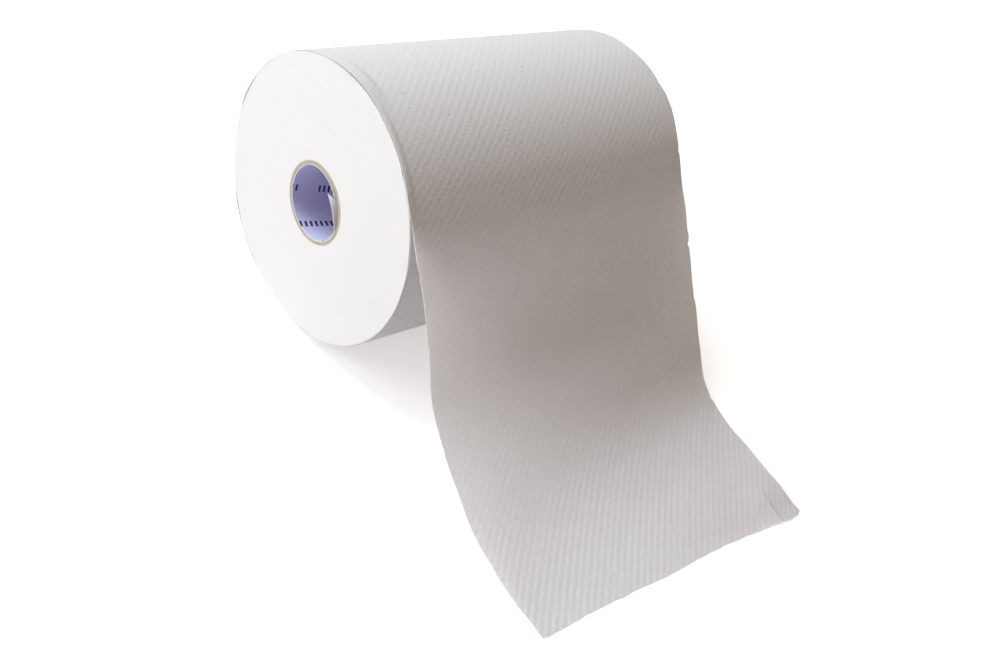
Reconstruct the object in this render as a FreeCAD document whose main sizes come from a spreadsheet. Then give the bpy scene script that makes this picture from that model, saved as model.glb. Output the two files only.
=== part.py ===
"""A hardwound paper hand towel roll, lying on its side with its free end run out on the floor.

Millimetres. X runs along the roll's axis, the free end lies towards -Y and Z is up from the floor.
The origin is the middle of the small flat spot that the soft coil lies on. Each sub-part is drawn
about the roll's own axis, and its Placement lifts that axis to its height above the floor.
"""
import FreeCAD, Part
import math
import os
import Sketcher
from FreeCAD import Vector

SIZES = (
    # the coil
    ("roll_width", 200.0, "width of the sheet, and length of the roll"),
    ("roll_diameter", 147.0, "over the outermost turn"),
    ("flat_depth", 2.0, "how far the coil settles under its own weight"),
    ("shoulder_radius", 45.0, "round shoulder on each side of the flat spot"),
    ("groove_width", 0.5, "open gap between groups of turns at the coil's ends"),
    ("groove_depth", 0.4, "depth of that gap"),
    ("groove_spacing", 7.0, "radial step of that gap in one turn"),
    ("groove_margin", 5.0, "whole paper inside and outside the gap's spiral"),
    # the core
    ("bore_diameter", 38.0, "free bore of the core"),
    ("liner_thickness", 0.3, "printed inner ply"),
    ("glue_line", 0.05, "glue between the inner ply and the board"),
    ("board_thickness", 1.85, "board wall behind the inner ply"),
    ("seat_gap", 0.05, "air between the core and the first turn, at the radius"),
    ("seam_width", 0.6, "gap where the inner ply's edges meet"),
    ("seam_lead", 105.0, "length of the core that one turn of the inner ply covers"),
    # the free end of the sheet
    ("sheet_thickness", 0.5, "over the embossing"),
    ("leave_angle", 49.0, "degrees from the top to where the sheet leaves the coil"),
    ("left_bend_radius", 95.0, "bend towards the floor, at the left edge"),
    ("right_bend_radius", 50.0, "the same at the right edge, where it is tighter"),
    ("left_slope", 2.5, "degrees to the floor after the bend, left edge"),
    ("right_slope", 6.5, "degrees to the floor after the bend, right edge"),
    ("left_reach", 223.0, "from under the axis to the cut end, left edge"),
    ("right_reach", 240.0, "the same at the right edge: the cut is a little slanted"),
)

COIL_RADIUS = "Sizes.roll_diameter / 2"
AXIS_HEIGHT = "Sizes.roll_diameter / 2 - Sizes.flat_depth"
HALF_WIDTH = "Sizes.roll_width / 2"
LEAVE_X = "Sizes.roll_diameter / 2 * sin(Sizes.leave_angle)"
BORE_RADIUS = "Sizes.bore_diameter / 2"
LINER_OUTER = BORE_RADIUS + " + Sizes.liner_thickness"
BOARD_INNER = LINER_OUTER + " + Sizes.glue_line"
BOARD_OUTER = BOARD_INNER + " + Sizes.board_thickness"
WEB_BORE = BOARD_OUTER + " + Sizes.seat_gap"
START, END, CENTRE = range(1, 4)
ORIGIN = (-1, 1)
VERTICAL_AXIS = -2


def make_sheet(doc):
    """The spreadsheet of driving dimensions: name, value and meaning in each row."""
    sheet = doc.addObject("Spreadsheet::Sheet", "Sizes")
    for row, (alias, value, meaning) in enumerate(SIZES, start=1):
        sheet.set("A%d" % row, alias)
        sheet.set("B%d" % row, str(value))
        sheet.set("C%d" % row, meaning)
        sheet.setAlias("B%d" % row, alias)
    doc.recompute()
    return sheet


def make_body(doc, label):
    """An empty body whose own origin lies on the roll's axis, at half the width."""
    body = doc.addObject("PartDesign::Body", label)
    body.Label = label
    body.setExpression("Placement.Base.z", AXIS_HEIGHT)
    return body


def origin_plane(body, role):
    return next(item for item in body.Origin.OriginFeatures if item.Role == role)


def add_sketch(body, name, role="YZ_Plane", offset=None):
    """A sketch on one of the body's origin planes, moved along its normal if need be."""
    sketch = body.newObject("Sketcher::SketchObject", name)
    sketch.AttachmentSupport = (origin_plane(body, role), [""])
    sketch.MapMode = "FlatFace"
    if offset:
        sketch.setExpression("AttachmentOffset.Base.z", offset)
    return sketch


def drive(sketch, name, expression, kind, *target):
    """Add a dimension to a sketch and bind it to the spreadsheet."""
    value = float(sketch.evalExpression(expression))
    if kind == "Angle":
        value = math.radians(value)
    index = sketch.addConstraint(Sketcher.Constraint(kind, *target, value))
    sketch.renameConstraint(index, name)
    sketch.setExpression("Constraints." + name, expression)


def relate(sketch, relations):
    for relation in relations:
        sketch.addConstraint(Sketcher.Constraint(*relation))


def draw_line(sketch, start, end):
    return sketch.addGeometry(Part.LineSegment(start, end), False)


def draw_arc(sketch, centre, radius, start, end):
    """A counter-clockwise arc between two angles in radians."""
    circle = Part.Circle(centre, Vector(0, 0, 1), radius)
    return sketch.addGeometry(Part.ArcOfCircle(circle, start, end), False)


def polar(radius, angle):
    return Vector(radius * math.cos(angle), radius * math.sin(angle), 0)


def add_pad(body, name, sketch):
    """Pad a sketch to the roll's full width, half of it to each side."""
    pad = body.newObject("PartDesign::Pad", name)
    pad.Profile = sketch
    pad.SideType = "Symmetric"
    pad.setExpression("Length", "Sizes.roll_width")
    return pad


def coil_outline(body, sheet):
    """Round coil on a flat spot, with the last turn's step where the free end leaves it."""
    outer = sheet.roll_diameter / 2
    inner = outer - sheet.sheet_thickness
    height = outer - sheet.flat_depth
    shoulder = sheet.shoulder_radius
    shoulder_z = shoulder - height
    back_x = math.sqrt((outer - shoulder) ** 2 - shoulder_z ** 2)
    front_x = -math.sqrt((inner - shoulder) ** 2 - shoulder_z ** 2)
    leave = math.pi / 2 + math.radians(sheet.leave_angle)
    back_join = math.atan2(shoulder_z, back_x)
    front_join = math.atan2(shoulder_z, front_x) + 2 * math.pi
    down = 1.5 * math.pi

    sketch = add_sketch(body, "coil_outline")
    back = draw_arc(sketch, Vector(), outer, back_join, leave)
    step = draw_line(sketch, polar(outer, leave), polar(inner, leave))
    front = draw_arc(sketch, Vector(), inner, leave, front_join)
    front_shoulder = draw_arc(sketch, Vector(front_x, shoulder_z, 0), shoulder, front_join, down)
    floor = draw_line(sketch, Vector(front_x, -height, 0), Vector(back_x, -height, 0))
    back_shoulder = draw_arc(sketch, Vector(back_x, shoulder_z, 0), shoulder, down, back_join + 2 * math.pi)
    relate(sketch, (
        ("Coincident", back, CENTRE, *ORIGIN),
        ("Coincident", front, CENTRE, *ORIGIN),
        ("Coincident", back, END, step, START),
        ("Coincident", step, END, front, START),
        ("PointOnObject", *ORIGIN, step),
        ("Tangent", front, END, front_shoulder, START),
        ("Tangent", front_shoulder, END, floor, START),
        ("Tangent", floor, END, back_shoulder, START),
        ("Tangent", back_shoulder, END, back, START),
        ("Horizontal", floor),
        ("Equal", front_shoulder, back_shoulder),
    ))
    drive(sketch, "coil_radius", COIL_RADIUS, "Radius", back)
    drive(sketch, "step", "Sizes.sheet_thickness", "Distance", step)
    drive(sketch, "leave_x", LEAVE_X, "DistanceX", back, END, *ORIGIN)
    drive(sketch, "axis_height", AXIS_HEIGHT, "DistanceY", floor, START, *ORIGIN)
    drive(sketch, "shoulder", "Sizes.shoulder_radius", "Radius", front_shoulder)
    return sketch


def sheet_section(body, sheet, side, offset):
    """The free end's section at one edge: straight down, round the bend, then out to the floor."""
    outer = sheet.roll_diameter / 2
    thickness = sheet.sheet_thickness
    height = outer - sheet.flat_depth
    leave = math.radians(sheet.leave_angle)
    slope = math.radians(sheet.get(side + "_slope"))
    over = sheet.get(side + "_bend_radius")
    under = over + thickness
    end = Vector(-sheet.get(side + "_reach"), -height, 0)

    def across(angle):
        """Unit vector out of the sheet's upper face, where the sheet falls at this angle."""
        return Vector(-math.sin(angle), math.cos(angle), 0)

    def along(angle):
        """Unit vector down the sheet, where the sheet falls at this angle."""
        return Vector(-math.cos(angle), -math.sin(angle), 0)

    root = across(leave) * (outer - thickness)
    bend = (across(leave) - across(slope)) * under
    gap = end - root - bend
    spread = math.sin(leave - slope)
    steep_run = (gap.x * along(slope).y - gap.y * along(slope).x) / -spread
    last_run = (gap.x * along(leave).y - gap.y * along(leave).x) / spread
    centre = root + along(leave) * steep_run + across(leave) * under
    lift = across(slope) * thickness

    sketch = add_sketch(body, side + "_section", offset=offset)
    cap = draw_line(sketch, across(leave) * outer, root)
    steep_under = draw_line(sketch, root, centre - across(leave) * under)
    bend_under = draw_arc(sketch, centre, under, slope - math.pi / 2, leave - math.pi / 2)
    last_under = draw_line(sketch, end, end - along(slope) * last_run)
    cut = draw_line(sketch, end, end + lift)
    last_over = draw_line(sketch, end + lift, centre - across(slope) * over)
    bend_over = draw_arc(sketch, centre, over, slope - math.pi / 2, leave - math.pi / 2)
    steep_over = draw_line(sketch, centre - across(leave) * over, across(leave) * outer)
    relate(sketch, (
        ("Coincident", cap, END, steep_under, START),
        ("Tangent", steep_under, END, bend_under, END),
        ("Tangent", bend_under, START, last_under, END),
        ("Coincident", last_under, START, cut, START),
        ("Coincident", cut, END, last_over, START),
        ("Tangent", last_over, END, bend_over, START),
        ("Tangent", bend_over, END, steep_over, START),
        ("Coincident", steep_over, END, cap, START),
        ("Coincident", bend_under, CENTRE, bend_over, CENTRE),
        ("PointOnObject", *ORIGIN, cap),
        ("Perpendicular", cap, steep_over),
        ("Perpendicular", cut, last_under),
    ))
    drive(sketch, "thickness", "Sizes.sheet_thickness", "Distance", cap)
    drive(sketch, "leave_x", LEAVE_X, "DistanceX", cap, START, *ORIGIN)
    drive(sketch, "coil_radius", COIL_RADIUS, "Distance", cap, START, *ORIGIN)
    drive(sketch, "bend", "Sizes." + side + "_bend_radius", "Radius", bend_over)
    drive(sketch, "slope", "Sizes." + side + "_slope", "Angle", last_under)
    drive(sketch, "reach", "Sizes." + side + "_reach", "DistanceX", last_under, START, *ORIGIN)
    drive(sketch, "axis_height", AXIS_HEIGHT, "DistanceY", last_under, START, *ORIGIN)
    return sketch


def turn_spiral(body, sheet):
    """The open gap between groups of turns: a band of half circles, each half a step larger.

    The half circles at the back are centred on the roll's axis and those at the front half a
    step below it, so that they meet on the vertical line through the axis.
    """
    half_step = sheet.groove_spacing / 2
    half_width = sheet.groove_width / 2
    innermost = float(sheet.evalExpression(WEB_BORE)) + sheet.groove_margin + half_step
    outermost = sheet.roll_diameter / 2 - sheet.flat_depth - sheet.groove_margin - half_step
    turns = int((outermost - innermost) / sheet.groove_spacing)

    sketch = add_sketch(body, "turn_spiral", offset=HALF_WIDTH)
    ends = []
    for half in range(2 * turns):
        at_front = half % 2
        centre = Vector(0, -half_step * at_front, 0)
        start = math.pi * (at_front - 0.5)
        middle = "%s + Sizes.groove_margin + %d * Sizes.groove_spacing / 2" % (WEB_BORE, half + 1)
        for side, sign in (("inner", -1), ("outer", 1)):
            radius = innermost + half_step * half + sign * half_width
            arc = draw_arc(sketch, centre, radius, start, start + math.pi)
            name = "%s_%d" % (side, half)
            drive(sketch, name, "%s + %d * Sizes.groove_width / 2" % (middle, sign), "Radius", arc)
            relate(sketch, (
                ("PointOnObject", arc, START, VERTICAL_AXIS),
                ("PointOnObject", arc, END, VERTICAL_AXIS),
            ))
            if at_front:
                drive(sketch, name + "_drop", "Sizes.groove_spacing / 2",
                      "DistanceY", arc, CENTRE, *ORIGIN)
                relate(sketch, (("PointOnObject", arc, CENTRE, VERTICAL_AXIS),))
            else:
                relate(sketch, (("Coincident", arc, CENTRE, *ORIGIN),))
            ends.append((arc, centre + polar(radius, start), centre + polar(radius, start + math.pi)))
    for inner, outer, which, point in ((ends[0], ends[1], START, 1), (ends[-2], ends[-1], END, 2)):
        cap = draw_line(sketch, inner[point], outer[point])
        relate(sketch, (
            ("Coincident", cap, START, inner[0], which),
            ("Coincident", cap, END, outer[0], which),
        ))
    return sketch


def make_towel_web(doc, sheet):
    """All the turns and the free end: one sheet, so one solid."""
    body = make_body(doc, "towel_web")
    add_pad(body, "turns", coil_outline(body, sheet))
    left = sheet_section(body, sheet, "left", "-" + HALF_WIDTH)
    right = sheet_section(body, sheet, "right", HALF_WIDTH)
    free_end = body.newObject("PartDesign::AdditiveLoft", "free_end")
    free_end.Profile = left
    free_end.Sections = [right]
    free_end.Ruled = True
    doc.recompute()

    mouth = add_sketch(body, "core_mouth")
    circle = mouth.addGeometry(Part.Circle(Vector(), Vector(0, 0, 1), 1), False)
    relate(mouth, (("Coincident", circle, CENTRE, *ORIGIN),))
    drive(mouth, "web_bore", WEB_BORE, "Radius", circle)
    bore = body.newObject("PartDesign::Pocket", "core_bore")
    bore.Profile = mouth
    bore.SideType = "Symmetric"
    bore.Type = "ThroughAll"
    doc.recompute()

    gap = body.newObject("PartDesign::Pocket", "turn_gap")
    gap.Profile = turn_spiral(body, sheet)
    gap.setExpression("Length", "Sizes.groove_depth")
    doc.recompute()
    both_ends = body.newObject("PartDesign::Mirrored", "turn_gap_other_end")
    both_ends.Originals = [gap]
    both_ends.MirrorPlane = (origin_plane(body, "YZ_Plane"), [""])
    body.Tip = both_ends
    return body


def make_tube(doc, label, inner, outer):
    """A plain tube along the roll's axis."""
    body = make_body(doc, label)
    ring = add_sketch(body, label + "_ring")
    for name, expression in (("inner", inner), ("outer", outer)):
        radius = float(ring.evalExpression(expression))
        circle = ring.addGeometry(Part.Circle(Vector(), Vector(0, 0, 1), radius), False)
        relate(ring, (("Coincident", circle, CENTRE, *ORIGIN),))
        drive(ring, name, expression, "Radius", circle)
    add_pad(body, label + "_wall", ring)
    doc.recompute()
    return body


def make_core_liner(doc, sheet):
    """The core's inner ply: a ribbon wound as a helix, whose edges leave a fine seam."""
    body = make_tube(doc, "core_liner", BORE_RADIUS, LINER_OUTER)
    section = add_sketch(body, "seam_section", role="XZ_Plane")
    past = sheet.liner_thickness
    left = -sheet.roll_width / 2 - sheet.seam_width - past
    low = sheet.bore_diameter / 2 - past
    high = sheet.bore_diameter / 2 + sheet.liner_thickness + past
    corners = [Vector(left, low, 0), Vector(left + sheet.seam_width, low, 0),
               Vector(left + sheet.seam_width, high, 0), Vector(left, high, 0)]
    sides = [draw_line(section, corners[i], corners[(i + 1) % 4]) for i in range(4)]
    relate(section, [("Coincident", sides[i], END, sides[(i + 1) % 4], START) for i in range(4)])
    relate(section, (
        ("Horizontal", sides[0]), ("Vertical", sides[1]), ("Horizontal", sides[2]), ("Vertical", sides[3]),
    ))
    drive(section, "seam_width", "Sizes.seam_width", "DistanceX", sides[0], START, sides[0], END)
    drive(section, "height", "3 * Sizes.liner_thickness", "DistanceY", sides[1], START, sides[1], END)
    drive(section, "inside", BORE_RADIUS + " - Sizes.liner_thickness", "DistanceY", *ORIGIN, sides[0], START)
    drive(section, "start", HALF_WIDTH + " + Sizes.seam_width + Sizes.liner_thickness",
          "DistanceX", sides[0], START, *ORIGIN)
    seam = body.newObject("PartDesign::SubtractiveHelix", "seam")
    seam.Profile = section
    seam.ReferenceAxis = (section, ["H_Axis"])
    seam.Mode = "pitch-height-angle"
    seam.setExpression("Pitch", "Sizes.seam_lead")
    seam.setExpression("Height", "Sizes.roll_width + 2 * (Sizes.seam_width + Sizes.liner_thickness)")
    return body


def check(doc, bodies):
    """Stop before anything is written if a feature or a shape is not sound."""
    failed = [item.Name for item in doc.Objects if "Invalid" in item.State or "Error" in item.State]
    if failed:
        raise RuntimeError("failed features: " + ", ".join(failed))
    for body in bodies:
        if body.Shape.isNull() or not body.Shape.isValid() or len(body.Shape.Solids) != 1:
            raise RuntimeError(body.Label + " is not one sound solid")


def main():
    doc = FreeCAD.newDocument("paper_towel_roll")
    sheet = make_sheet(doc)
    bodies = [
        make_towel_web(doc, sheet),
        make_tube(doc, "core_tube", BOARD_INNER, BOARD_OUTER),
        make_core_liner(doc, sheet),
    ]
    doc.recompute()
    check(doc, bodies)
    os.makedirs("parts", exist_ok=True)
    for body in bodies:
        body.Shape.exportStep("parts/%s.step" % body.Label)
        box = body.Shape.BoundBox
        print("%-12s volume %.1f mm3, x %.2f to %.2f, y %.2f to %.2f, z %.2f to %.2f" % (
            body.Label, body.Shape.Volume, box.XMin, box.XMax, box.YMin, box.YMax, box.ZMin, box.ZMax))


main()
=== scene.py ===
"""Looks of a hardwound paper hand towel roll that lies with its free end run out on the floor.

Metres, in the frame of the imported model: X runs along the roll's axis, the free end lies towards
-Y and Z is up. A place on the sheet is given by x, across it, and by s, the distance along it
from the line where it leaves the coil: s grows down the free end and is negative round the coil.
Each sheet is first cut and thickened flat, and then wound and laid.
"""
import math

import bmesh
import bpy
import numpy as np
from mathutils import Matrix, Vector


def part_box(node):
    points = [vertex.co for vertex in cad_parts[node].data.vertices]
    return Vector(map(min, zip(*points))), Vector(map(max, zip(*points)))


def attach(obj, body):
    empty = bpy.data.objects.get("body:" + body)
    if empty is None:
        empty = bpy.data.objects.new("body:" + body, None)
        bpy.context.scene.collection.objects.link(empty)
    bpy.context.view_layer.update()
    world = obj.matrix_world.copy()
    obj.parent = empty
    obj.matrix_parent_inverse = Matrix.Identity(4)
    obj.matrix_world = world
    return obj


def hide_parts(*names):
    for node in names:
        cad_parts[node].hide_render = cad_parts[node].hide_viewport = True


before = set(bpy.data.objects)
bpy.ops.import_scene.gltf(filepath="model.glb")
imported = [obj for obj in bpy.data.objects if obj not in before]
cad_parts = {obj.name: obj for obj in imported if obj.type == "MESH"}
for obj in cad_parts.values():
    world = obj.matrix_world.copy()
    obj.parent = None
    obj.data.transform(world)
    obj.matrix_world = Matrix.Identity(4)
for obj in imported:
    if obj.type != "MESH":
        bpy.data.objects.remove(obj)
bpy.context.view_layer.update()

MM = 0.001
TURN = 2 * math.pi

# the roll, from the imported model
HALF_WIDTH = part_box("towel_web")[1].x
COIL_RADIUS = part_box("towel_web")[1].y
AXIS_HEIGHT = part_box("towel_web")[1].z - COIL_RADIUS
SETTLED = COIL_RADIUS - AXIS_HEIGHT
BOARD_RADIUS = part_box("core_tube")[1].y
PLY_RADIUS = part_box("core_liner")[1].y
WEB_BORE = BOARD_RADIUS + 0.05 * MM

# the paper: how thick it is over its embossing, the embossing's dots, and how much higher they
# stand past the coil, which they reach at LOOSENING
SHEET = 0.5 * MM
EMBOSS_ACROSS = 5.32 * MM
EMBOSS_ALONG = 5.0 * MM
EMBOSS_RISE = 0.08 * MM
PAPER = SHEET - 2 * EMBOSS_RISE
LOOSE_RISE = 0.13 * MM
LOOSENING = 60 * MM
FLAT_HEIGHT = SHEET + 2 * (LOOSE_RISE - EMBOSS_RISE)

# how much of the embossing fades in patches, and the waves across and along it: length and shift
FADING = 0.2
FADE_ACROSS = (17 * MM, 1.3)
FADE_ALONG = (23 * MM, 0.4)

# the waver of the sheet's edges: its size in mm, the length of its waves in mm, and their shift
LEFT_WAVER = ((0.36, 13, 1), (0.2, 5.1, 2))
RIGHT_WAVER = ((0.4, 11, 4), (0.28, 4.7, 0))

# small faults of its edges, in mm: where along the sheet, half their length, and the size; and how
# far in from the edge the faults and the waver reach
LEFT_NICKS = ((34, 3, 0.5), (70, 1.2, 0.6), (118, 1, 0.5), (176, 1.2, 0.6), (199, 2, -0.4))
RIGHT_NICKS = ((-38, 1, 0.6), (-30, 2, -0.5), (3, 1.2, 1), (52, 2.2, -0.9), (57, 1.2, 1.2),
               (88, 1.5, 0.6), (150, 1.2, 0.8), (174, 1, 0.7), (205, 1.4, 0.5))
EDGE_BAND = 5 * MM

# lifts of the last turn's left edge, in mm: where along the sheet, half their length, their width
# from the edge and their height; and how level they are before their crease
LIFTS = ((-62, 15, 7.5, 0.95), (-32, 16, 3, 0.5), (-5, 14, 3, 0.5))
LIFT_LEVEL = 6

# how the free end lies: distance along the sheet in mm, and how steeply it falls there in degrees,
# at each edge; how much more of its width follows the left edge; and how long each edge is
LEAVE = 49.0
LEFT_EDGE = ((0, LEAVE), (50, 50), (85, 57), (115, 38), (150, 26), (180, 10), (213, 2))
RIGHT_EDGE = ((0, LEAVE), (60, 48), (125, 49), (165, 9), (195, 2), (231, 13))
LEANING = 1.45
LEFT_LENGTH = 217 * MM
RIGHT_LENGTH = 233 * MM

# the cut end's faults, in mm: where across, half their width, and how much longer the sheet is
# there; how far the cut bows inwards; and how much it wavers, on waves of two lengths
CUT_FAULTS = ((-14, 22, 1.4), (88, 9, 1.1), (-71, 3, -0.5), (-45, 5, 0.5), (34, 4, -0.4),
              (62, 3, 0.4), (100, 2.6, -1.8), (-100, 1.6, -1.0))
CUT_BOW = 2.8 * MM
CUT_WAVER = 0.12 * MM
CUT_WAVES = (1.9 * MM, 11 * MM)

# the corner that was once folded: where its crease meets the cut end, in mm across, how it slants,
# where along the sheet it starts and over which length it grows, in mm; how high it stands, and
# the share of that height at distances past it in mm
CREASE_ACROSS = 80
CREASE_SLANT = 0.14
CREASE_START = 202
CREASE_GROWING = 16
CREASE_HEIGHT = 1.2 * MM
FOLD_PAST = (-30, 0, 1.4, 19)
FOLD_SHARE = (0, 1, 0.55, 0)

# how far the free end's path is worked out, in which steps, and on how many lines across it
SPARE_LENGTH = 250 * MM
PATH_STEP = 0.25 * MM
PATH_LINES = 21

# how the coil is wound and settled
TURN_LENGTH = TURN * (COIL_RADIUS - SHEET / 2)
LAP = 10 * MM
TURN_GAP = 0.03 * MM
SETTLE_REACH = 30 * MM
SOFTNESS = 1 * MM
CURVE_LIFT = 0.08 * MM
# how much less the last turn's radius is under the roll than at the leave line, with what the
# soft curve lifts it by
THINNER = SHEET * (LEAVE + 180) / 360 + CURVE_LIFT

# the board of the core
PLIES = 4
PLY_GROOVE = 0.07 * MM
PLY_CHAMFER = 0.05
BOARD_BORE = 19.35 * MM
BOARD_STEPS = 160

# the printed ply that lines it: its seam
LINER_BORE = 19.0 * MM
LINER = PLY_RADIUS - LINER_BORE
SEAM_LEAD = 105 * MM
SEAM_START = math.radians(41)
SEAM_GAP = 0.6 * MM

# its corner that has come loose, and the raised edge on the other side of the seam
PEEL_END = math.radians(101)
PEEL_BEND = math.radians(47)
PEEL_SOFTNESS = 1.6 * MM
PEEL_FADING = 0.55
PEEL_CURL = 2.5 * MM
PEEL_CURLED = 11 * MM
PEEL_REACH = 25 * MM
PEEL_STEP = 0.1 * MM
RAISED_FROM = TURN - math.radians(30)
RAISED_EDGE = 1.6 * MM
RAISED_DEEP = 5 * MM

# its print: rows of groups of plain strokes
PRINT_TILT = math.radians(11)
PRINT_ROWS = 19 * MM
PRINT_START = 7.1 * MM
PRINT_HIGH = 3.4 * MM
PRINT_DEEP = 0.02 * MM
GROUP_PITCH = 32 * MM
GROUP_LONG = 20 * MM
GROUP_START = 24 * MM
GROUP_SHIFT = 12.7 * MM
STROKE_PITCH = 2.9 * MM
STROKE_WIDE = 1.3 * MM

# the cut edges of the turns at the coil's ends: a fine spiral groove
GROOVE_STEP = 7 * MM
GROOVE_WIDTH = 0.25 * MM
GROOVE_DEPTH = 0.02 * MM
GROOVE_MARGIN = 5 * MM

# the floor: its radius and paint, how strongly it glows near the roll, and the distances from the
# middle of the roll between which its glow rises to white
FLOOR_RADIUS = 3.0
FLOOR_PAINT = (0.92, 0.92, 0.92, 1)
FLOOR_GLOW = 0.47
GLOW_NEAR = 300 * MM
GLOW_FAR = 900 * MM

# the even light of the room, warm where the lamps are cool
ROOM_LIGHT = (0.175, 0.118, 0.05, 1)

# colours, each pair from dark to light: the paper backed by more paper, alone, with light through it,
# and cut; its specks; the board, its darker patches, and the dark of the glue between its plies, which
# at the board's outer rim is painted shade of the gap to the paper; the lining ply's print, ink and back
BACKED_PAPER = (0.64, 0.64, 0.64), (0.72, 0.72, 0.72)
SINGLE_PAPER = (0.915, 0.91, 0.93), (0.99, 0.985, 1.0)
LIT_PAPER = (0.965, 0.965, 0.965), (1.0, 1.0, 1.0)
CUT_PAPER = (0.762, 0.754, 0.751), (0.812, 0.804, 0.801)
SPECK_GREY = (0.35, 0.33, 0.31)
BOARD = (0.46, 0.41, 0.30), (0.66, 0.61, 0.49)
DARK_BOARD = (0.45, 0.37, 0.27)
GLUE_AND_GAP_SHADE = (0.2, 0.14, 0.09)
LILAC = (0.53, 0.53, 0.77), (0.61, 0.61, 0.84)
DARK_INK = (0.03, 0.03, 0.16)
PLY_BACK = (0.9, 0.9, 0.9)
DULL_GLOSS = 0.15

# how fine each finish is, in lumps to a metre in each direction
CLOUDS = (120, 200, 120)
FLECKS = (450, 1100, 450)
UNEVEN = (60, 60, 60)
# PATCHES: how fine the patches are in which the embossing's painted shading comes and goes
PATCHES = (90, 110, 90)
CREPE = (300, 1000, 300)
PAPER_FIBRE = (900, 900, 900)
FUZZ = (1600, 1600, 1600)
END_CLOUDS = (60, 60, 60)
BOARD_FIBRE = (900, 900, 900)
BOARD_SPECKS = (2600, 2600, 2600)
BOARD_CLOUDS = (90, 90, 90)
PLY_FIBRE = (700, 700, 700)

# the height of the paper's crepe and fibres; how strong the painted shading of the embossing's crossing
# rows is, and where along the sheet all of the embossing's painted shading grows stronger
CREPE_HEIGHT = 0.15 * MM
FIBRE_HEIGHT = 0.08 * MM
CROSSING_SHADING = 0.2
EMBOSS_SHADING_GROWS = (60 * MM, 130 * MM)

# how far past the leave line the paper is single; how much of its look is light that comes through
# it where it hangs and where it lies on the floor, and where along the sheet it comes to lie
THINNING = 30 * MM
THROUGH_HANGING = 0.6
THROUGH_LYING = 0.4
COMES_TO_LIE = (140 * MM, 190 * MM)

# its dark specks: how many to a metre, and their reach, full and faded, in shares of their spacing
SPECKS = 22.0
SPECK_REACH = (0.004, 0.012)

# how many rings the cut turns show to a metre, and the height of their rings and fuzz
RINGS = 900.0
FUZZ_HEIGHT = 0.04 * MM

# the height of the board's fibres and specks and of the ply's fibres; how far the dark line reaches into
# each ply of the board, as a share of it: glue between the plies, and at the board's outer rim painted
# shade of the gap to the paper
BOARD_FIBRE_HEIGHT = 0.08 * MM
BOARD_SPECK_HEIGHT = 0.04 * MM
PLY_FIBRE_HEIGHT = 0.03 * MM
PLY_LINE = 0.12

# mesh steps: of the sheets, whose rows are one length up to SQUARE_LENGTH and end at the cut; of
# the last turn's hidden face, which follows the lifts this far in; of the coil's ends and the ply
COLUMNS = 188
ROW = 1.0 * MM
SQUARE_LENGTH = 200 * MM
LAST_ROWS = 25
HIDDEN_COLUMNS = (3.75 * MM, 7.5 * MM, 15 * MM)
BAND = (0, 0.2, 0.38, 0.45, 0.475, 0.5, 0.525, 0.55, 0.62, 0.8, 1)
ROUND = 360
LINER_COLUMNS = 132
LINER_ROWS = 160
CLOSE = 0.01 * MM
MERGED = 0.002 * MM


# ---------------------------------------------------------------- the sheet's own shape

def smooth_step(share):
    """A share held between 0 and 1, which leaves the one and comes to the other smoothly."""
    share = np.clip(share, 0, 1)
    return share * share * (3 - 2 * share)


def share_across(x):
    """How far across the sheet x is: 0 at its left edge and 1 at its right edge."""
    return (x / HALF_WIDTH + 1) / 2


def edge_fall(edge, s):
    """How steeply an edge of the free end falls at s, in radians."""
    distance, degrees = np.array(edge, float).T
    return np.radians(np.interp(s, distance * MM, degrees))


def press_down(height, lowest, softness=SOFTNESS):
    """Heights, with those below the lowest one brought up to it in a soft curve."""
    over = height - lowest
    return lowest + (over + np.sqrt(over ** 2 + softness ** 2)) / 2


def fall_at(share, s):
    """How steeply the free end falls at s, at a share of its width: more of it follows the left edge."""
    leaning = share ** LEANING
    return edge_fall(LEFT_EDGE, s) * (1 - leaning) + edge_fall(RIGHT_EDGE, s) * leaning


def free_end_path():
    """The free end's reach and height at each step along it, on a fan of lines across it."""
    s = np.arange(0, SPARE_LENGTH, PATH_STEP)
    share = np.linspace(0, 1, PATH_LINES)[:, None]
    fall = fall_at(share, s)
    middle = (fall[:, 1:] + fall[:, :-1]) / 2
    start = np.zeros((PATH_LINES, 1))
    leave = math.radians(LEAVE)
    reach = np.hstack([start, np.cumsum(np.cos(middle), axis=1) * PATH_STEP])
    drop = np.hstack([start, np.cumsum(np.sin(middle), axis=1) * PATH_STEP])
    height = AXIS_HEIGHT + COIL_RADIUS * math.cos(leave) - drop
    return -COIL_RADIUS * math.sin(leave) - reach, press_down(height, FLAT_HEIGHT, SOFTNESS / 2)


FREE_END = free_end_path()


def on_path(table, share, s):
    """A value of the free end's path, between its lines and steps."""
    line = np.clip(share, 0, 1) * (PATH_LINES - 1)
    step = np.clip(s / PATH_STEP, 0, table.shape[1] - 1.001)
    i = np.minimum(line.astype(int), PATH_LINES - 2)
    j = step.astype(int)
    a, b = line - i, step - j
    near = table[i, j] * (1 - b) + table[i, j + 1] * b
    far = table[i + 1, j] * (1 - b) + table[i + 1, j + 1] * b
    return near * (1 - a) + far * a


def settle(y, z):
    """The height that a point of the round coil has once the coil has settled on the floor."""
    outline = AXIS_HEIGHT - np.sqrt(np.maximum(COIL_RADIUS ** 2 - y ** 2, 0))
    lift = press_down(outline, -THINNER) - outline
    depth = np.clip(1 - (z - outline) / SETTLE_REACH, 0, 1)
    return z + lift * depth ** 2


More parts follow.
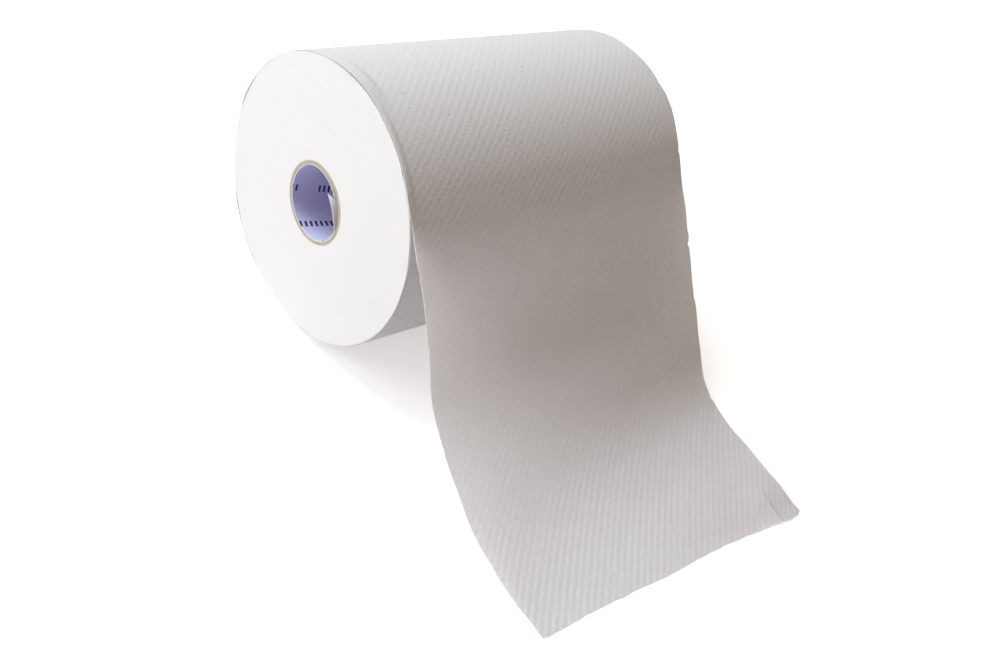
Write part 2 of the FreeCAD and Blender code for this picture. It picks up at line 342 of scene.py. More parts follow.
def emboss(x, s):
    """Height of the embossing, from the top of its dots down. It is less crushed past the coil."""
    rise = EMBOSS_RISE + (LOOSE_RISE - EMBOSS_RISE) * smooth_step(s / LOOSENING)
    (wide, shift_x), (long, shift_s) = FADE_ACROSS, FADE_ALONG
    fading = FADING * np.sin(x / wide + shift_x) * np.sin(s / long + shift_s)
    wave = np.cos(TURN * x / EMBOSS_ACROSS) * np.cos(TURN * s / EMBOSS_ALONG)
    return rise * ((1 - FADING + fading) * wave - 1)


def lift(x, s):
    """How far the last turn's left edge stands off the coil: level near the edge, then a crease."""
    inwards = x + HALF_WIDTH
    height = 0
    for along, length, width, size in LIFTS:
        shape = ((s - along * MM) / (length * MM)) ** 2 + (inwards / (width * MM)) ** LIFT_LEVEL
        height = height + size * MM * np.exp(-shape)
    return height


def corner_fold(x, s):
    """How far the right corner's old fold stands off the floor: a slope, a small step, the corner."""
    past = x / MM - CREASE_ACROSS - CREASE_SLANT * (RIGHT_LENGTH - s) / MM
    shape = np.interp(past, FOLD_PAST, FOLD_SHARE)
    return CREASE_HEIGHT * shape * smooth_step((s / MM - CREASE_START) / CREASE_GROWING)


def edge_fault(x, s):
    """How far a point near an edge lies outwards or inwards of the straight cut."""
    near = np.clip(1 - (HALF_WIDTH - np.abs(x)) / EDGE_BAND, 0, 1) ** 2
    faults = []
    for waver, nicks in ((LEFT_WAVER, LEFT_NICKS), (RIGHT_WAVER, RIGHT_NICKS)):
        fault = sum(size * np.sin(s / (length * MM) + shift) for size, length, shift in waver)
        for along, length, size in nicks:
            fault -= size * np.exp(-((s - along * MM) / (length * MM)) ** 2)
        faults.append(fault)
    return np.sign(x) * near * np.where(x < 0, *faults) * MM


def towel(x, s, depth=0.0):
    """The point of the wound and laid sheet at x and s, and at a depth under its upper face."""
    share = share_across(x)
    laid = fall_at(np.clip(share, 0, 1), s)
    wound = math.radians(LEAVE) + TURN * s / TURN_LENGTH
    on_coil = s < 0
    fall = np.where(on_coil, wound, laid)
    radius = COIL_RADIUS + SHEET * s / TURN_LENGTH
    y = np.where(on_coil, -radius * np.sin(wound), on_path(FREE_END[0], share, s))
    z = np.where(on_coil, AXIS_HEIGHT + radius * np.cos(wound), on_path(FREE_END[1], share, s))
    rise = emboss(x, s) + lift(x, s) + corner_fold(x, s) - depth
    y = y - np.sin(fall) * rise
    z = z + np.cos(fall) * rise
    z = np.where(on_coil, settle(y, z), z)
    return np.stack([x + edge_fault(x, s), y, z], axis=-1)


def towel_normal(x, s):
    """The direction out of the sheet's upper face, the same on both sides of the leave line."""
    step = 0.1 * MM
    across = towel(x + step, s) - towel(x - step, s)
    along = towel(x, s + step) - towel(x, s - step)
    normal = np.cross(along, across)
    return normal / np.linalg.norm(normal, axis=-1, keepdims=True)


# ---------------------------------------------------------------- meshes

def new_piece(name, bm):
    """Turn a bmesh into an object of the scene."""
    mesh = bpy.data.meshes.new(name)
    bm.to_mesh(mesh)
    bm.free()
    piece = bpy.data.objects.new(name, mesh)
    bpy.context.scene.collection.objects.link(piece)
    return piece


def smooth_faces(piece, sharp):
    """Shade a piece smooth, but for edges that turn by more than an angle in degrees."""
    piece.data.shade_smooth()
    piece.data.set_sharp_from_angle(angle=math.radians(sharp))


def vertices_of(mesh):
    """The places of a mesh's vertices, one to a row."""
    flat = np.empty(len(mesh.vertices) * 3)
    mesh.vertices.foreach_get("co", flat)
    return flat.reshape(-1, 3)


def move_vertices(mesh, points):
    """Put a mesh's vertices at new places."""
    mesh.vertices.foreach_set("co", np.asarray(points, np.float32).ravel())
    mesh.update()


def keep_flat(mesh):
    """Keep the places of a flat sheet's vertices in the mesh, for its material, and return them."""
    flat = vertices_of(mesh)
    places = mesh.attributes.new("flat", "FLOAT_VECTOR", "POINT")
    places.data.foreach_set("vector", flat.astype(np.float32).ravel())
    return flat


def cut_length(x):
    """Length of the free end at x: the cut is slanted, bows inwards and is a little uneven."""
    share = share_across(x)
    length = LEFT_LENGTH + (RIGHT_LENGTH - LEFT_LENGTH) * share
    length -= CUT_BOW * math.sin(math.pi * share)
    for across, width, size in CUT_FAULTS:
        length += size * MM * math.exp(-((x / MM - across) / width) ** 2)
    short, long = CUT_WAVES
    return length + CUT_WAVER * math.sin(x / short) * math.sin(x / long)


def flat_grid(first, rows):
    """A flat sheet, one row of faces to a millimetre, as wide as the roll."""
    bm = bmesh.new()
    bmesh.ops.create_grid(bm, x_segments=COLUMNS, y_segments=rows, size=0.5)
    for vertex in bm.verts:
        vertex.co.x *= 2 * HALF_WIDTH
        vertex.co.y = first + (vertex.co.y + 0.5) * rows * ROW
    return bm


def wind_and_lay(piece):
    """Bring a flat sheet's vertices to their places, and give its faces smooth normals."""
    mesh = piece.data
    x, s, height = keep_flat(mesh).T
    move_vertices(mesh, towel(x, s, -height))
    mesh.flip_normals()
    loops = np.empty(len(mesh.loops), int)
    mesh.loops.foreach_get("vertex_index", loops)
    sizes = np.empty(len(mesh.polygons), int)
    mesh.polygons.foreach_get("loop_total", sizes)
    faces = np.empty(len(mesh.polygons) * 3)
    mesh.polygons.foreach_get("normal", faces)
    faces = np.repeat(faces.reshape(-1, 3), sizes, axis=0)
    smooth = towel_normal(x, s)[loops]
    facing = (faces * smooth).sum(axis=1)[:, None]
    # the faces of the cut edges keep their own normals
    normals = np.where(np.abs(facing) > 0.5, smooth * np.sign(facing), faces)
    mesh.normals_split_custom_set(normals.tolist())


def make_free_end():
    """The free end: cut flat, thickened, and laid down to the floor."""
    bm = flat_grid(0, round(SQUARE_LENGTH / ROW) + LAST_ROWS)
    for vertex in bm.verts:
        past = vertex.co.y - SQUARE_LENGTH
        if past > 0:
            spare = cut_length(vertex.co.x) - SQUARE_LENGTH
            vertex.co.y = SQUARE_LENGTH + past * spare / (LAST_ROWS * ROW)
    bmesh.ops.solidify(bm, geom=bm.faces[:], thickness=PAPER)
    bmesh.ops.recalc_face_normals(bm, faces=bm.faces[:])
    piece = new_piece("free_end", bm)
    wind_and_lay(piece)
    return piece


def make_outer_turn():
    """The coil's last turn. Its hidden inner face is plain strips from one edge to the other."""
    rows = round((TURN_LENGTH + LAP) / ROW)
    bm = flat_grid(-rows * ROW, rows)
    rim = bmesh.ops.extrude_edge_only(bm, edges=[e for e in bm.edges if e.is_boundary])
    under = [item for item in rim["geom"] if isinstance(item, bmesh.types.BMVert)]
    for vertex in under:
        vertex.co.z -= PAPER
    inner = [v for v in under if abs(abs(v.co.x) - HALF_WIDTH) > CLOSE]
    bmesh.ops.dissolve_verts(bm, verts=inner)
    sides = [e for e in bm.edges if e.is_boundary
             and all(abs(abs(v.co.x) - HALF_WIDTH) < CLOSE for v in e.verts)
             and abs(e.verts[0].co.x - e.verts[1].co.x) < CLOSE]
    strips = bmesh.ops.bridge_loops(bm, edges=sides)["edges"]
    cuts = len(HIDDEN_COLUMNS)
    cut = bmesh.ops.subdivide_edges(bm, edges=strips, cuts=cuts, use_grid_fill=True)
    for vertex in {item for item in cut["geom_inner"] if isinstance(item, bmesh.types.BMVert)}:
        column = round(share_across(vertex.co.x) * (cuts + 1)) - 1
        vertex.co.x = HIDDEN_COLUMNS[column] - HALF_WIDTH
    bmesh.ops.recalc_face_normals(bm, faces=bm.faces[:])
    piece = new_piece("outer_turn", bm)
    wind_and_lay(piece)
    return piece


def coil_radius(angle):
    """Radius of the turns under the outer one: it steps up where the outer turn's tucked end stops."""
    back = (math.radians(LEAVE) - angle) / TURN % 1
    lap = LAP / TURN_LENGTH
    past = 1.5 * lap
    turns = np.interp(back, (0, lap, past, 1), (1, 1, past, 1))
    return COIL_RADIUS - SHEET - TURN_GAP - SHEET * turns


def end_relief(across, radius):
    """How far the cut edges of the turns stand back, across one spiral step of the coil's end."""
    groove = np.exp(-((across - 0.5) * GROOVE_STEP / GROOVE_WIDTH) ** 2)
    inside = np.clip((radius - WEB_BORE) / GROOVE_MARGIN, 0, 1)
    outside = np.clip((COIL_RADIUS - SETTLED - radius) / GROOVE_MARGIN, 0, 1)
    return GROOVE_DEPTH * groove * inside * outside


def make_coil():
    """All the turns but the last. Each end is a spiral band of cut edges, from the bore to the rim."""
    windings = math.ceil((COIL_RADIUS - WEB_BORE) / GROOVE_STEP) + 1
    cells = len(BAND) - 1
    bm = bmesh.new()
    bmesh.ops.create_grid(bm, x_segments=cells, y_segments=windings * ROUND, size=0.5)
    for vertex in bm.verts:
        vertex.co.x = BAND[round((vertex.co.x + 0.5) * cells)]
        vertex.co.y = round((vertex.co.y + 0.5) * windings * ROUND) / ROUND
    coil = new_piece("coil", bm)
    across, turns, _ = vertices_of(coil.data).T
    angle = math.radians(LEAVE) - TURN * turns
    radius = COIL_RADIUS + GROOVE_STEP * (1 - across - turns)
    radius = np.clip(radius, WEB_BORE, coil_radius(angle))
    x = end_relief(across, radius) - HALF_WIDTH
    y = -radius * np.sin(angle)
    z = AXIS_HEIGHT + radius * np.cos(angle)
    move_vertices(coil.data, np.stack([x, y, settle(y, z)], axis=-1))

    bm = bmesh.new()
    bm.from_mesh(coil.data)
    bmesh.ops.remove_doubles(bm, verts=bm.verts[:], dist=MERGED)
    bmesh.ops.dissolve_degenerate(bm, dist=MERGED, edges=bm.edges[:])
    other = bmesh.ops.duplicate(bm, geom=bm.faces[:])
    for item in other["geom"]:
        if isinstance(item, bmesh.types.BMVert):
            item.co.x *= -1
    middle = (WEB_BORE + COIL_RADIUS) / 2
    axis = Vector((0, AXIS_HEIGHT))
    for outer in (True, False):
        loops = [e for e in bm.edges if e.is_boundary
                 and ((e.verts[0].co.yz - axis).length > middle) == outer]
        bmesh.ops.bridge_loops(bm, edges=loops)
    bmesh.ops.recalc_face_normals(bm, faces=bm.faces[:])
    bm.to_mesh(coil.data)
    bm.free()
    smooth_faces(coil, 40)
    return coil


def make_core_board():
    """The core's board: its section, with the plies showing at both ends, spun round the axis."""
    wall = BOARD_RADIUS - BOARD_BORE
    chamfer = wall * PLY_CHAMFER
    end = []
    for ply in range(PLIES):
        inner = BOARD_BORE + wall * ply / PLIES
        outer = inner + wall / PLIES
        end += [(PLY_GROOVE, inner), (0, inner + chamfer), (0, outer - chamfer)]
    end.append((PLY_GROOVE, BOARD_RADIUS))
    section = [(inset - HALF_WIDTH, radius) for inset, radius in end]
    section += [(HALF_WIDTH - inset, radius) for inset, radius in reversed(end)]
    bm = bmesh.new()
    corners = [bm.verts.new((x, 0, radius)) for x, radius in section]
    edges = [bm.edges.new((corners[i - 1], corner)) for i, corner in enumerate(corners)]
    bmesh.ops.spin(bm, geom=corners + edges, cent=(0, 0, 0), axis=(1, 0, 0), angle=TURN,
                   steps=BOARD_STEPS, use_merge=True)
    bmesh.ops.translate(bm, verts=bm.verts[:], vec=(0, 0, AXIS_HEIGHT))
    bmesh.ops.recalc_face_normals(bm, faces=bm.faces[:])
    board = new_piece("core_board", bm)
    smooth_faces(board, 30)
    return board


def peeled_path():
    """Where the loose corner of the ply goes, from the line at which it leaves the board."""
    away = np.arange(0, PEEL_REACH, PEEL_STEP)
    heading = PEEL_END - PEEL_BEND * (1 - np.exp(-away / PEEL_SOFTNESS))
    middle = (heading[1:] + heading[:-1]) / 2
    y = -LINER_BORE * math.sin(PEEL_END) + np.append(0, np.cumsum(np.cos(middle))) * PEEL_STEP
    z = LINER_BORE * math.cos(PEEL_END) + np.append(0, np.cumsum(np.sin(middle))) * PEEL_STEP
    return away, y, z, heading


PEELED = peeled_path()


def liner_place(x, angle, height):
    """A point of the ply that lines the core, its free corner peeled away from the board."""
    inwards = x + HALF_WIDTH
    raised = RAISED_EDGE * np.exp(-(inwards / RAISED_DEEP) ** 2)
    raised *= np.clip((angle - RAISED_FROM) / (TURN + SEAM_START - RAISED_FROM), 0, 1)
    radius = LINER_BORE - height - raised
    y = -radius * np.sin(angle)
    z = radius * np.cos(angle)

    away, path_y, path_z, heading = PEELED
    back = np.maximum(LINER_BORE * (PEEL_END - angle), 0)
    turned = np.interp(back, away, heading)
    corner = np.hypot(LINER_BORE * (angle - SEAM_START), inwards)
    curl = PEEL_CURL * np.clip(1 - corner / PEEL_CURLED, 0, 1) ** 2
    loose_y = np.interp(back, away, path_y) + np.sin(turned) * (height + curl)
    loose_z = np.interp(back, away, path_z) - np.cos(turned) * (height + curl)

    depth = inwards / (SEAM_LEAD * (PEEL_END - SEAM_START) / TURN)
    share = np.clip(1 - PEEL_FADING * depth, 0, 1)
    loose = (angle < PEEL_END) & (depth < 1)
    y = np.where(loose, y + (loose_y - y) * share, y)
    z = np.where(loose, z + (loose_z - z) * share, z)
    return np.stack([x, y, z + AXIS_HEIGHT], axis=-1)


def make_core_liner():
    """The innermost ply: a ribbon whose edges meet in a seam that winds along the core."""
    bm = bmesh.new()
    bmesh.ops.create_grid(bm, x_segments=LINER_COLUMNS, y_segments=LINER_ROWS, size=0.5)
    round_gap = SEAM_GAP / LINER_BORE
    for vertex in bm.verts:
        x = vertex.co.y * 2 * HALF_WIDTH
        seam = SEAM_START + TURN * (x + HALF_WIDTH) / SEAM_LEAD
        vertex.co.x = seam + round_gap / 2 + (vertex.co.x + 0.5) * (TURN - round_gap)
        vertex.co.x *= LINER_BORE
        vertex.co.y = x
    bmesh.ops.solidify(bm, geom=bm.faces[:], thickness=LINER)
    bmesh.ops.recalc_face_normals(bm, faces=bm.faces[:])
    liner = new_piece("core_inner_ply", bm)
    around, x, height = keep_flat(liner.data).T
    move_vertices(liner.data, liner_place(x, around / LINER_BORE, height))
    liner.data.flip_normals()
    smooth_faces(liner, 40)
    return liner


# ---------------------------------------------------------------- stage

def place_camera():
    """The camera looks down on the roll from its left end, a little tilted."""
    lens = 38.45
    sensor = 36
    place = Vector((-398.8, -314.5, 390.2)) * MM
    forward = Vector((0.6622, 0.409, -0.6278))
    tilt = math.radians(27.1)
    camera = bpy.data.objects.new("camera", bpy.data.cameras.new("camera"))
    camera.data.lens = lens
    camera.data.sensor_width = sensor
    camera.data.clip_start = 10 * MM
    level = forward.to_track_quat("-Z", "Y").to_matrix()
    turned = level @ Matrix.Rotation(tilt, 3, "Z")
    camera.matrix_world = Matrix.Translation(place) @ turned.to_4x4()
    bpy.context.scene.collection.objects.link(camera)
    bpy.context.scene.camera = camera


def make_floor():
    """The floor is painted white. It also glows, the more the further from the roll, but to the
    camera and in mirrors and glass alone, so that the glow lights nothing."""
    bm = bmesh.new()
    bmesh.ops.create_circle(bm, cap_ends=True, segments=64, radius=FLOOR_RADIUS)
    floor = new_piece("floor", bm)
    material, nodes, links, out = new_material("floor_paint")
    paint = nodes.new("ShaderNodeBsdfDiffuse")
    paint.inputs["Color"].default_value = FLOOR_PAINT
    glow = nodes.new("ShaderNodeEmission")
    apart = nodes.new("ShaderNodeVectorMath")
    apart.operation = "LENGTH"
    links.new(nodes.new("ShaderNodeTexCoord").outputs["Object"], apart.inputs[0])
    apart = apart.outputs["Value"]
    strength = between(nodes, links, apart, FLOOR_GLOW, 1.0, GLOW_NEAR, GLOW_FAR)
    links.new(strength, glow.inputs["Strength"])
    seen = nodes.new("ShaderNodeLightPath").outputs
    add = nodes.new("ShaderNodeAddShader")
    mix = nodes.new("ShaderNodeMixShader")
    straight = combine(nodes, links, "MAXIMUM", seen["Is Camera Ray"], seen["Is Glossy Ray"])
    straight = combine(nodes, links, "MAXIMUM", straight, seen["Is Transmission Ray"])
    straight = combine(nodes, links, "SUBTRACT", straight, seen["Is Diffuse Ray"])
    links.new(paint.outputs[0], add.inputs[0])
    links.new(glow.outputs[0], add.inputs[1])
    links.new(straight, mix.inputs[0])
    links.new(paint.outputs[0], mix.inputs[1])
    links.new(add.outputs[0], mix.inputs[2])
    links.new(mix.outputs[0], out.inputs["Surface"])
    floor.data.materials.append(material)


def hang_lamp(name, towards, energy, colour, away=1.6, size=0.9, spread=180):
    """A soft round lamp that faces the roll from a direction."""
    towards = Vector(towards).normalized()
    lamp = bpy.data.lights.new(name, "AREA")
    lamp.shape = "DISK"
    lamp.size = size
    lamp.spread = math.radians(spread)
    lamp.energy = energy
    lamp.color = colour
    hung = bpy.data.objects.new(name, lamp)
    hung.location = towards * away + Vector((0, 0, AXIS_HEIGHT))
    hung.rotation_mode = "QUATERNION"
    hung.rotation_quaternion = towards.to_track_quat("Z", "Y")
    bpy.context.scene.collection.objects.link(hung)


def light_scene():
    """One lamp high behind the roll, one at its left, a weak one in front and an even light.

    A small weak lamp with a narrow beam lights the right end alone.
    """
    hang_lamp("lamp_behind", (-0.25, 0.433, 0.866), 20.6, (0.94, 1.0, 1.08))
    hang_lamp("lamp_left", (-0.785, 0.453, 0.423), 11.6, (0.9, 1.0, 1.0))
    hang_lamp("lamp_front", (-0.847, -0.489, 0.208), 2.6, (1.3, 1.0, 1.3))
    hang_lamp("lamp_right", (1.0, 0.02, 0.0), 0.02, (0.97, 1.0, 1.06), away=0.5, size=0.17, spread=6)
    world = bpy.data.worlds.new("room")
    bpy.context.scene.world = world
    world.use_nodes = True
    nodes, links = world.node_tree.nodes, world.node_tree.links
    room = nodes["Background"]
    room.inputs["Color"].default_value = ROOM_LIGHT
    white = nodes.new("ShaderNodeBackground")
    white.inputs["Color"].default_value = (1, 1, 1, 1)
    mix = nodes.new("ShaderNodeMixShader")
    seen = nodes.new("ShaderNodeLightPath")
    links.new(seen.outputs["Is Camera Ray"], mix.inputs[0])
    links.new(room.outputs[0], mix.inputs[1])
    links.new(white.outputs[0], mix.inputs[2])
    links.new(mix.outputs[0], nodes["World Output"].inputs["Surface"])
    bpy.context.scene.view_settings.view_transform = "Standard"


# ---------------------------------------------------------------- materials

def new_material(name):
    """An empty material, with its nodes, their links and its output."""
    material = bpy.data.materials.new(name)
    material.use_nodes = True
    nodes, links = material.node_tree.nodes, material.node_tree.links
    nodes.clear()
    return material, nodes, links, nodes.new("ShaderNodeOutputMaterial")


def flat_place(nodes):
    """Where a point was on the sheet while it was flat, in metres."""
    place = nodes.new("ShaderNodeAttribute")
    place.attribute_name = "flat"
    return place.outputs["Vector"]


def stretched(nodes, links, place, scale):
    """A place, scaled in each direction."""
    mapping = nodes.new("ShaderNodeMapping")
    mapping.inputs["Scale"].default_value = scale
    links.new(place, mapping.inputs["Vector"])
    return mapping.outputs["Vector"]


def noise(nodes, links, place, scale, detail=2.0, roughness=0.5):
    """Noise over a place; scale is the number of lumps in a metre in each direction."""
    texture = nodes.new("ShaderNodeTexNoise")
    texture.inputs["Scale"].default_value = 1.0
    texture.inputs["Detail"].default_value = detail
    texture.inputs["Roughness"].default_value = roughness
    links.new(stretched(nodes, links, place, scale), texture.inputs["Vector"])
    return texture.outputs["Fac"]


def between(nodes, links, value, low, high, from_low=0.0, from_high=1.0):
    """A value brought from one range to another."""
    spread = nodes.new("ShaderNodeMapRange")
    spread.inputs["From Min"].default_value = from_low
    spread.inputs["From Max"].default_value = from_high
    spread.inputs["To Min"].default_value = low
    spread.inputs["To Max"].default_value = high
    links.new(value, spread.inputs["Value"])
    return spread.outputs["Result"]


def combine(nodes, links, operation, a, b=0.0):
    """The result of a sum on one or two values, each a number or a socket."""
    maths = nodes.new("ShaderNodeMath")
    maths.operation = operation
    for socket, value in zip(maths.inputs, (a, b)):
        if isinstance(value, (int, float)):
            socket.default_value = value
        else:
            links.new(value, socket)
    return maths.outputs[0]


def blend_colours(nodes, links, share, first, second):
    """A colour between two others, each a colour or a socket."""
    mix = nodes.new("ShaderNodeMix")
    mix.data_type = "RGBA"
    links.new(share, mix.inputs[0])
    for socket, colour in ((mix.inputs[6], first), (mix.inputs[7], second)):
        if isinstance(colour, tuple):
            socket.default_value = (*colour, 1)
        else:
            links.new(colour, socket)
    return mix.outputs[2]


def bump(nodes, links, height, distance, below=None):
    """A bump of the given full height, on top of another bump if there is one."""
    node = nodes.new("ShaderNodeBump")
    node.inputs["Strength"].default_value = 1.0
    node.inputs["Distance"].default_value = distance
    links.new(height, node.inputs["Height"])
    if below is not None:
        links.new(below, node.inputs["Normal"])
    return node.outputs["Normal"]


def dull_shader(nodes, links, colour, normal, roughness=0.9):
    """A rough surface with hardly any gloss."""
    shader = nodes.new("ShaderNodeBsdfPrincipled")
    shader.inputs["Roughness"].default_value = roughness
    shader.inputs["Specular IOR Level"].default_value = DULL_GLOSS
    links.new(colour, shader.inputs["Base Color"])
    links.new(normal, shader.inputs["Normal"])
    return shader


def painted_emboss_shading(nodes, links, place):
    """Painted shading of the embossing: its rows as faint slanted streaks, lighter and darker, in place
    of the light and shade on its relief, which come and go in patches; and the distance along the sheet."""
    apart = nodes.new("ShaderNodeSeparateXYZ")
    links.new(place, apart.inputs[0])
    across, along, _ = apart.outputs
    across = combine(nodes, links, "MULTIPLY", across, TURN / EMBOSS_ACROSS)
    down = combine(nodes, links, "MULTIPLY", along, TURN / EMBOSS_ALONG)
    uneven = between(nodes, links, noise(nodes, links, place, UNEVEN, detail=3), -2.5, 2.5)
    across = combine(nodes, links, "ADD", across, uneven)
    emboss_shading = combine(nodes, links, "COSINE", combine(nodes, links, "ADD", across, down))
    crossing_shading = combine(nodes, links, "COSINE", combine(nodes, links, "SUBTRACT", across, down))
    crossing_shading = combine(nodes, links, "MULTIPLY", crossing_shading, CROSSING_SHADING)
    emboss_shading = combine(nodes, links, "ADD", emboss_shading, crossing_shading)
    patches = noise(nodes, links, place, PATCHES, detail=3)
    patches = between(nodes, links, patches, 0.05, 0.8, 0.3, 0.7)
    emboss_shading = combine(nodes, links, "MULTIPLY", emboss_shading, patches)
    # the embossing's painted shading grows stronger along the sheet
    settled = between(nodes, links, along, 0.35, 1.0, *EMBOSS_SHADING_GROWS)
    return combine(nodes, links, "MULTIPLY", emboss_shading, settled), along


def towel_paper():
    """Creped white paper, with the painted shading of its embossing where it is single. No light comes
    through it on the coil, where more paper backs it. Light comes through the free end, and less of it
    where the end lies on the floor."""
    material, nodes, links, out = new_material("towel_paper")
    place = flat_place(nodes)
    cloudy = noise(nodes, links, place, CLOUDS, detail=4, roughness=0.6)
    flecks = noise(nodes, links, place, FLECKS, detail=2)
    emboss_shading, along = painted_emboss_shading(nodes, links, place)
    shade = combine(nodes, links, "ADD", between(nodes, links, cloudy, 0.0, 0.5),
                    between(nodes, links, flecks, 0.0, 0.5))
    backed = blend_colours(nodes, links, shade, *BACKED_PAPER)
    # painted shading of the embossing, added to the single paper's colour and to the colour of the light
    # through it
    shade = combine(nodes, links, "ADD", shade, emboss_shading)
    single = blend_colours(nodes, links, shade, *SINGLE_PAPER)
    lit = blend_colours(nodes, links, shade, *LIT_PAPER)
    free = nodes.new("ShaderNodeMapRange")
    free.interpolation_type = "SMOOTHSTEP"
    free.inputs["From Max"].default_value = THINNING
    links.new(along, free.inputs["Value"])
    free = free.outputs["Result"]
    colour = blend_colours(nodes, links, free, backed, single)
    specks = nodes.new("ShaderNodeTexVoronoi")
    specks.voronoi_dimensions = "2D"
    specks.inputs["Scale"].default_value = SPECKS
    links.new(place, specks.inputs["Vector"])
    speck = between(nodes, links, specks.outputs["Distance"], 1, 0, *SPECK_REACH)
    colour = blend_colours(nodes, links, speck, colour, SPECK_GREY)
    crepe = noise(nodes, links, place, CREPE, detail=3, roughness=0.6)
    fibre = noise(nodes, links, place, PAPER_FIBRE, detail=3)
    normal = bump(nodes, links, crepe, CREPE_HEIGHT)
    normal = bump(nodes, links, fibre, FIBRE_HEIGHT, normal)
    shader = dull_shader(nodes, links, colour, normal)
    through = nodes.new("ShaderNodeBsdfTranslucent")
    links.new(lit, through.inputs["Color"])
    links.new(normal, through.inputs["Normal"])
    mix = nodes.new("ShaderNodeMixShader")
    hanging = between(nodes, links, along, THROUGH_HANGING, THROUGH_LYING, *COMES_TO_LIE)
    links.new(combine(nodes, links, "MULTIPLY", free, hanging), mix.inputs[0])
    links.new(shader.outputs[0], mix.inputs[1])
    links.new(through.outputs[0], mix.inputs[2])
    links.new(mix.outputs[0], out.inputs["Surface"])
    return material


def from_axis(nodes, links):
    """Distance from the roll's axis, in metres, and the place as a vector."""
    place = nodes.new("ShaderNodeTexCoord").outputs["Object"]
    centred = nodes.new("ShaderNodeMapping")
    centred.inputs["Location"].default_value = (0, 0, -AXIS_HEIGHT)
    centred.inputs["Scale"].default_value = (0, 1, 1)
    links.new(place, centred.inputs["Vector"])
    length = nodes.new("ShaderNodeVectorMath")
    length.operation = "LENGTH"
    links.new(centred.outputs[0], length.inputs[0])
    return length.outputs["Value"], place


def cut_turns():
    """The cut edges of the turns: white, with the faintest rings."""
    material, nodes, links, out = new_material("cut_turns")
    radius, place = from_axis(nodes, links)
    rings = nodes.new("ShaderNodeTexNoise")
    rings.noise_dimensions = "1D"
    rings.inputs["Scale"].default_value = 1.0
    rings.inputs["Detail"].default_value = 3.0
    links.new(combine(nodes, links, "MULTIPLY", radius, RINGS), rings.inputs["W"])
    fuzz = noise(nodes, links, place, FUZZ, detail=2)
    cloudy = noise(nodes, links, place, END_CLOUDS, detail=3)
    share = combine(nodes, links, "ADD", between(nodes, links, rings.outputs[0], -0.25, 0.25),
                    between(nodes, links, cloudy, 0.2, 0.8))
    colour = blend_colours(nodes, links, share, *CUT_PAPER)
    normal = bump(nodes, links, rings.outputs[0], FUZZ_HEIGHT)
    normal = bump(nodes, links, fuzz, FUZZ_HEIGHT, normal)
    shader = dull_shader(nodes, links, colour, normal, roughness=1.0)
    links.new(shader.outputs[0], out.inputs["Surface"])
    return material


def kraft_board():
    """Grey-brown board, with fibres in it and darker lines between its plies; the line at its outer rim
    is painted shade of the gap to the paper.
    """
    material, nodes, links, out = new_material("kraft_board")
    radius, place = from_axis(nodes, links)
    fibre = noise(nodes, links, place, BOARD_FIBRE, detail=4, roughness=0.65)
    specks = noise(nodes, links, place, BOARD_SPECKS, detail=1)
    share = between(nodes, links, fibre, 0, 1, 0.3, 0.7)
    colour = blend_colours(nodes, links, share, *BOARD)
    cloudy = noise(nodes, links, place, BOARD_CLOUDS, detail=3, roughness=0.6)
    share = between(nodes, links, cloudy, 0, 0.6, 0.35, 0.65)
    colour = blend_colours(nodes, links, share, colour, DARK_BOARD)
    ply = (BOARD_RADIUS - BOARD_BORE) / PLIES
    across = combine(nodes, links, "SUBTRACT", radius, BOARD_BORE)
    across = combine(nodes, links, "DIVIDE", across, ply)
    across = combine(nodes, links, "PINGPONG", across, 0.5)
    # dark lines: glue between the plies, and painted shade of the gap to the paper at the board's outer
    # rim
    line = between(nodes, links, across, 1.0, 0.0, 0.0, PLY_LINE)
    colour = blend_colours(nodes, links, line, colour, GLUE_AND_GAP_SHADE)
    normal = bump(nodes, links, fibre, BOARD_FIBRE_HEIGHT)
    normal = bump(nodes, links, specks, BOARD_SPECK_HEIGHT, normal)
    shader = dull_shader(nodes, links, colour, normal, roughness=0.95)
    links.new(shader.outputs[0], out.inputs["Surface"])
    return material


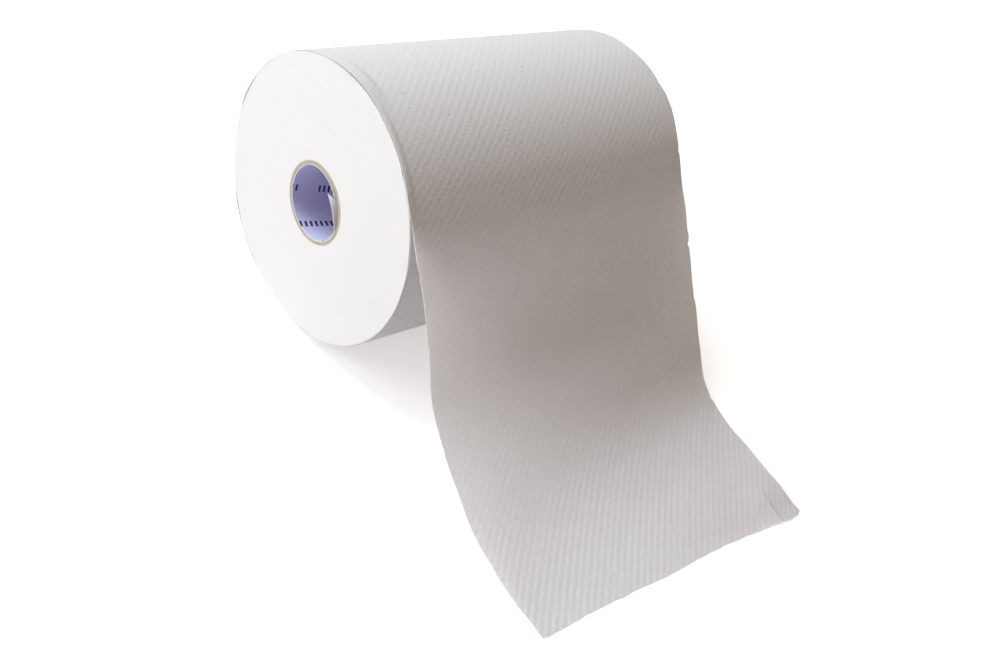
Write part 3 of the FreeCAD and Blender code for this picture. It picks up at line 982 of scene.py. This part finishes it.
def printed_ply():
    """The lining ply: white paper, printed lilac with groups of plain dark strokes on its inner face."""
    material, nodes, links, out = new_material("printed_ply")
    place = flat_place(nodes)
    apart = nodes.new("ShaderNodeSeparateXYZ")
    links.new(place, apart.inputs[0])
    around, along, height = apart.outputs
    fibre = noise(nodes, links, place, PLY_FIBRE, detail=3)
    share = between(nodes, links, fibre, 0, 1, 0.25, 0.75)
    lilac = blend_colours(nodes, links, share, *LILAC)
    sine, cosine = math.sin(PRINT_TILT), math.cos(PRINT_TILT)
    run = combine(nodes, links, "SUBTRACT", combine(nodes, links, "MULTIPLY", along, cosine),
                  combine(nodes, links, "MULTIPLY", around, sine))
    rank = combine(nodes, links, "ADD", combine(nodes, links, "MULTIPLY", around, cosine),
                   combine(nodes, links, "MULTIPLY", along, sine))
    rank = combine(nodes, links, "SUBTRACT", rank, PRINT_START)
    row = combine(nodes, links, "ROUND", combine(nodes, links, "DIVIDE", rank, PRINT_ROWS))
    in_row = combine(nodes, links, "LESS_THAN",
                     combine(nodes, links, "PINGPONG", rank, PRINT_ROWS / 2), PRINT_HIGH / 2)
    group = combine(nodes, links, "SUBTRACT", run,
                    combine(nodes, links, "MULTIPLY", row, GROUP_SHIFT))
    group = combine(nodes, links, "SUBTRACT", group, GROUP_START)
    group = combine(nodes, links, "FLOORED_MODULO", group, GROUP_PITCH)
    in_group = combine(nodes, links, "LESS_THAN", group, GROUP_LONG)
    stroke = combine(nodes, links, "FLOORED_MODULO", group, STROKE_PITCH)
    in_stroke = combine(nodes, links, "LESS_THAN", stroke, STROKE_WIDE)
    marked = combine(nodes, links, "MULTIPLY", in_row,
                     combine(nodes, links, "MULTIPLY", in_group, in_stroke))
    printed = blend_colours(nodes, links, marked, lilac, DARK_INK)
    inner = combine(nodes, links, "GREATER_THAN", height, -PRINT_DEEP)
    colour = blend_colours(nodes, links, inner, PLY_BACK, printed)
    normal = bump(nodes, links, fibre, PLY_FIBRE_HEIGHT)
    shader = dull_shader(nodes, links, colour, normal, roughness=0.6)
    links.new(shader.outputs[0], out.inputs["Surface"])
    return material


def finish_piece(piece, node, material):
    """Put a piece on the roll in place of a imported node, with its material."""
    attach(piece, "root")
    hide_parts(node)
    piece.data.materials.append(material)


def main():
    """Build the stage and the pieces, each in place of a part of the imported model."""
    place_camera()
    make_floor()
    light_scene()
    free_end = make_free_end()
    outer_turn = make_outer_turn()
    paper = towel_paper()
    finish_piece(free_end, "towel_web", paper)
    finish_piece(outer_turn, "towel_web", paper)
    finish_piece(make_coil(), "towel_web", cut_turns())
    finish_piece(make_core_board(), "core_tube", kraft_board())
    finish_piece(make_core_liner(), "core_liner", printed_ply())


main()
